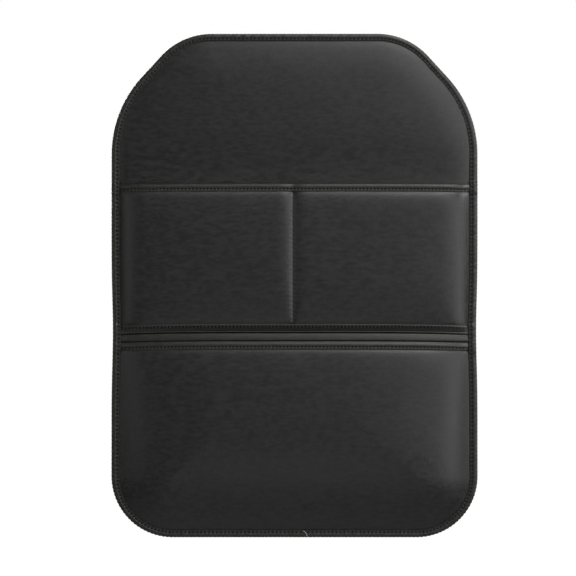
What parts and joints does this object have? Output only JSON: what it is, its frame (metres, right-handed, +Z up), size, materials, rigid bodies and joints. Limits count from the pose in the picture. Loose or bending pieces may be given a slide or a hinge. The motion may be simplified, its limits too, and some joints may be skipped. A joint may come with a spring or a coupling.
{
  "type": "car seat back organizer",
  "caption": "Padded leather panel that hangs behind a car seat, with open-topped pockets and strap fastenings on its back.",
  "frame": {"origin": "centre of the headrest strap's outer face, on the back of the panel near its top", "axes": "+Z up as it hangs, +X to the right seen from the front, the pocket side faces -Y"},
  "size_m": [0.4508, 0.0331, 0.62],
  "materials": {
    "panel_leather": "black artificial leather, fine grain, semi-matt",
    "binding_leather": "black artificial leather tape, semi-matt",
    "lining_fabric": "black non-woven lining",
    "core_foam": "grey foam sheet",
    "webbing": "black woven webbing",
    "closure_tape": "black hook and loop tape",
    "sewing_thread": "black sewing thread"
  },
  "bodies": {
    "root": {"rear_lining": "lining_fabric", "foam_core": "core_foam", "face_panel": "panel_leather", "edge_binding": "binding_leather", "upper_pocket_panel": "panel_leather", "upper_pocket_mouth_binding": "binding_leather", "upper_pocket_hem_binding": "binding_leather", "rear_pocket_panel": "panel_leather", "rear_pocket_mouth_binding": "binding_leather", "front_pocket_panel": "panel_leather", "front_pocket_mouth_binding": "binding_leather", "headrest_strap_left": "webbing", "headrest_strap_right": "webbing", "headrest_loop_tape": "closure_tape", "headrest_hook_tape": "closure_tape", "seat_strap_left": "webbing", "seat_strap_right": "webbing", "seat_loop_tape": "closure_tape", "seat_hook_tape": "closure_tape"}
  },
  "joints": []
}
